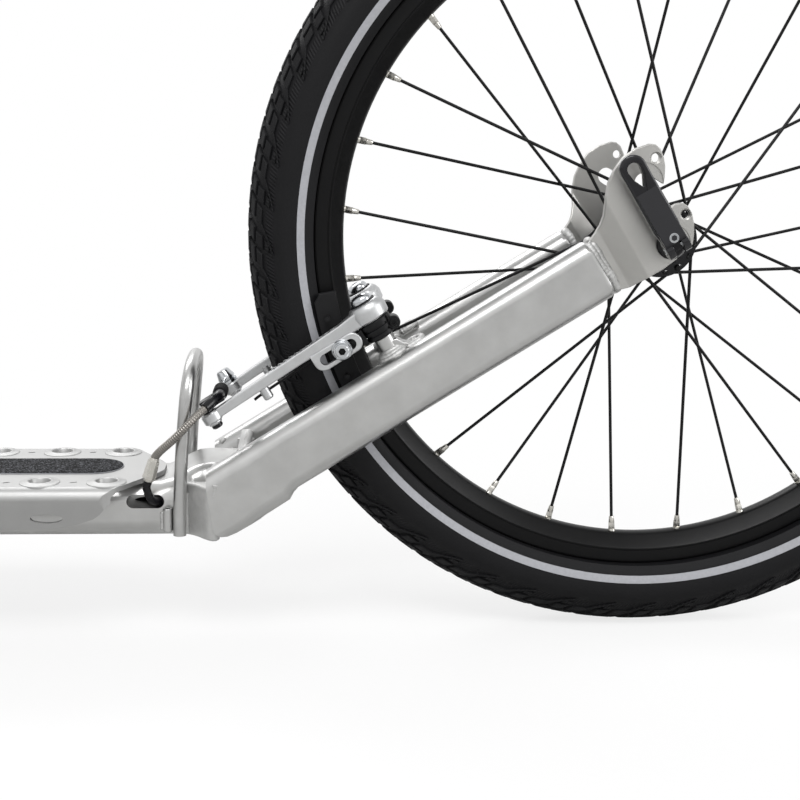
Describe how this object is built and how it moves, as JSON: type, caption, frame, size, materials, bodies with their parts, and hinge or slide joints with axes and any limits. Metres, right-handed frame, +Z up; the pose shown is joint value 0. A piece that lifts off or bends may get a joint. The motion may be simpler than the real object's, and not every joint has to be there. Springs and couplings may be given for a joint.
{
  "type": "kick bike",
  "caption": "Adult kick bike: spoked wheels with air tyres, low footboard, rigid fork, handlebar with levers, rim brakes and a rear axle slot for two ride heights.",
  "frame": {"origin": "on the ground under the middle of the whole length, in the plane of the wheels", "axes": "+X towards the rear wheel, +Y towards the rider's right, +Z up"},
  "size_m": [1.8784, 0.6092, 0.9971],
  "materials": {
    "satin_aluminium": "satin brushed",
    "cast_alloy": "polished",
    "black_alloy": "satin black anodised",
    "bright_steel": "bright",
    "black_steel": "black oxide",
    "tyre_rubber": "matt",
    "black_rubber": "matt",
    "black_plastic": "satin",
    "grit_tape": "coarse grit"
  },
  "bodies": {
    "frame": {"frame_tube": "satin_aluminium", "footboard": "satin_aluminium", "grip_tape": "grit_tape", "heel_guard": "bright_steel", "stay_bridge": "satin_aluminium", "rear_cable_housing": "black_plastic", "left_stay": "satin_aluminium", "right_stay": "satin_aluminium", "left_dropout": "satin_aluminium", "right_dropout": "satin_aluminium", "head_tube": "satin_aluminium", "headset_lower_cup": "black_alloy", "headset_upper_cup": "black_alloy", "rear_axle": "bright_steel", "rear_skewer": "black_alloy"},
    "steering": {"fork_crown": "satin_aluminium", "fork_blade_left": "satin_aluminium", "fork_blade_right": "satin_aluminium", "steering_spacer": "black_alloy", "stem": "black_alloy", "stem_faceplate": "black_alloy", "stem_top_cap": "black_alloy", "handlebar": "black_alloy", "grip_left": "black_rubber", "grip_right": "black_rubber", "brake_lever_bracket_left": "black_alloy", "brake_lever_bracket_right": "black_alloy", "front_cable_housing": "black_plastic", "rear_cable_loop": "black_plastic", "front_axle": "bright_steel", "front_skewer": "black_alloy"},
    "front_wheel": {"front_tyre": "tyre_rubber", "front_inner_tube": "black_rubber", "front_rim": "black_alloy", "front_hub_and_spokes": "black_steel", "front_bearing_left": "bright_steel", "front_bearing_right": "bright_steel"},
    "rear_wheel": {"rear_tyre": "tyre_rubber", "rear_inner_tube": "black_rubber", "rear_rim": "black_alloy", "rear_hub_and_spokes": "black_steel", "rear_bearing_left": "bright_steel", "rear_bearing_right": "bright_steel"},
    "left_brake_lever": {"brake_lever_left": "cast_alloy"},
    "right_brake_lever": {"brake_lever_right": "cast_alloy"},
    "rear_left_arm": {"rear_brake_arm_left": "cast_alloy", "rear_brake_spring_left": "black_plastic", "rear_brake_pad_left": "black_rubber", "rear_lead_pipe": "bright_steel", "rear_cable_boot": "black_rubber"},
    "rear_right_arm": {"rear_brake_arm_right": "cast_alloy", "rear_brake_spring_right": "black_plastic", "rear_brake_pad_right": "black_rubber"},
    "front_right_arm": {"front_brake_arm_right": "cast_alloy", "front_brake_pad_right": "black_rubber", "front_lead_pipe": "bright_steel"},
    "front_left_arm": {"front_brake_arm_left": "cast_alloy", "front_brake_pad_left": "black_rubber"},
    "rear_release_lever": {"rear_quick_release_lever": "black_alloy"},
    "front_release_lever": {"front_quick_release_lever": "black_alloy"}
  },
  "joints": [
    {"name": "steering_hinge", "type": "hinge", "parent": "frame", "child": "steering", "pos_m": [-0.44296, 0, 0.69014], "axis": [0.3173, 0, 0.9483], "range_deg": [-65, 65], "deforming": ["rear_cable_loop"]},
    {"name": "front_wheel_spin", "type": "hinge", "parent": "steering", "child": "front_wheel", "pos_m": [-0.61175, 0, 0.3275], "axis": [0, 1, 0], "continuous": true},
    {"name": "rear_wheel_spin", "type": "hinge", "parent": "frame", "child": "rear_wheel", "pos_m": [0.68825, 0, 0.251], "axis": [0, 1, 0], "continuous": true},
    {"name": "left_brake_lever_pull", "type": "hinge", "parent": "steering", "child": "left_brake_lever", "pos_m": [-0.42338, -0.16992, 0.95903], "axis": [-0.5478, -0.0824, 0.8325], "range_deg": [0, 14], "stiffness_Nm_per_rad": 1, "springref_deg": -20.05},
    {"name": "right_brake_lever_pull", "type": "hinge", "parent": "steering", "child": "right_brake_lever", "pos_m": [-0.42338, 0.16992, 0.95903], "axis": [0.5478, -0.0824, -0.8325], "range_deg": [0, 14], "stiffness_Nm_per_rad": 1, "springref_deg": -20.05},
    {"name": "rear_left_arm_swing", "type": "hinge", "parent": "frame", "child": "rear_left_arm", "pos_m": [0.52636, -0.0315, 0.1812], "axis": [0.5299, 0, -0.848], "range_deg": [0, 2.6], "deforming": ["rear_lead_pipe", "rear_cable_boot"]},
    {"name": "rear_right_arm_swing", "type": "hinge", "parent": "frame", "child": "rear_right_arm", "pos_m": [0.52636, 0.0315, 0.1812], "axis": [-0.5299, 0, 0.848], "range_deg": [0, 2.6]},
    {"name": "front_right_arm_swing", "type": "hinge", "parent": "steering", "child": "front_right_arm", "pos_m": [-0.50116, 0.0315, 0.56033], "axis": [0.9483, 0, -0.3173], "range_deg": [0, 2.6], "deforming": ["front_lead_pipe"]},
    {"name": "front_left_arm_swing", "type": "hinge", "parent": "steering", "child": "front_left_arm", "pos_m": [-0.50116, -0.0315, 0.56033], "axis": [-0.9483, 0, 0.3173], "range_deg": [0, 2.6]},
    {"name": "rear_release_lever_swing", "type": "hinge", "parent": "frame", "child": "rear_release_lever", "pos_m": [0.68825, -0.0661, 0.251], "axis": [0.8453, 0, 0.5344], "range_deg": [0, 170]},
    {"name": "front_release_lever_swing", "type": "hinge", "parent": "steering", "child": "front_release_lever", "pos_m": [-0.61175, -0.0661, 0.3275], "axis": [0.6691, 0, -0.7431], "range_deg": [0, 170]}
  ],
  "couplings": [
    {"joint": "rear_left_arm_swing", "follows": "right_brake_lever_pull", "ratio": 0.185},
    {"joint": "rear_right_arm_swing", "follows": "right_brake_lever_pull", "ratio": 0.185},
    {"joint": "front_right_arm_swing", "follows": "left_brake_lever_pull", "ratio": 0.185},
    {"joint": "front_left_arm_swing", "follows": "left_brake_lever_pull", "ratio": 0.185}
  ]
}
